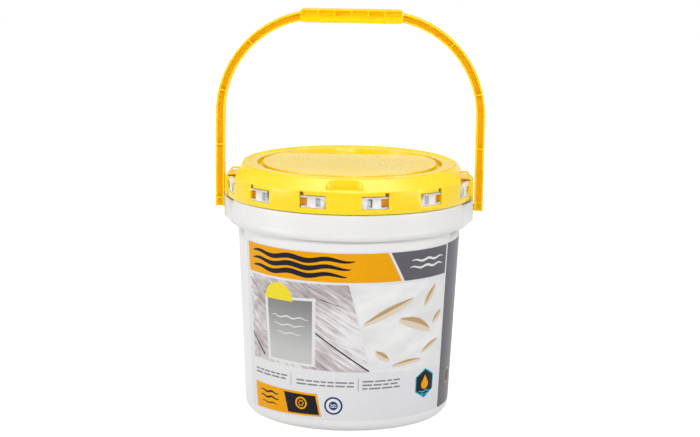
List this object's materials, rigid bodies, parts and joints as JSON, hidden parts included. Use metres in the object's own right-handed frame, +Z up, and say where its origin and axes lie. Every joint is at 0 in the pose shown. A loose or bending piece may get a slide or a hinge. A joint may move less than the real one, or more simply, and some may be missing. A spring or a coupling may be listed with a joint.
{
  "type": "insulated bait bucket",
  "caption": "Round insulated pail with a hanging collar, a press-on lid ring, a lift-off cover with a hinged hatch, and an arched bail with a ribbed grip.",
  "frame": {"origin": "on the ground at the pail's vertical axis", "axes": "+Z up, front with the finger notch towards -Y, bail pivots on a line along X"},
  "size_m": [0.266, 0.2434, 0.4014],
  "materials": {
    "white_plastic": "satin moulded",
    "foam": "matte foam",
    "seal": "matte",
    "yellow_plastic": "gloss moulded",
    "label_print": "printed film",
    "label_dark": "printed film"
  },
  "bodies": {
    "pail_body": {"pail": "white_plastic", "foam_liner": "foam", "rim_gasket": "seal", "lid_ring": "yellow_plastic", "front_label": "label_print", "side_label": "label_dark"},
    "bail": {"bail": "yellow_plastic"},
    "cover": {"lid_cover": "yellow_plastic", "hinge_pin": "yellow_plastic"},
    "hatch": {"hatch": "yellow_plastic"}
  },
  "joints": [
    {"name": "bail_pivot", "type": "hinge", "parent": "pail_body", "child": "bail", "pos_m": [0, 0, 0.207], "axis": [1, 0, 0], "range_deg": [-140, 140]},
    {"name": "cover_lift", "type": "slide", "parent": "pail_body", "child": "cover", "axis": [0, 0, 1], "range_m": [0, 0.03]},
    {"name": "hatch_hinge", "type": "hinge", "parent": "cover", "child": "hatch", "pos_m": [0, 0.052, 0.247], "axis": [-1, 0, 0], "range_deg": [0, 105]}
  ]
}
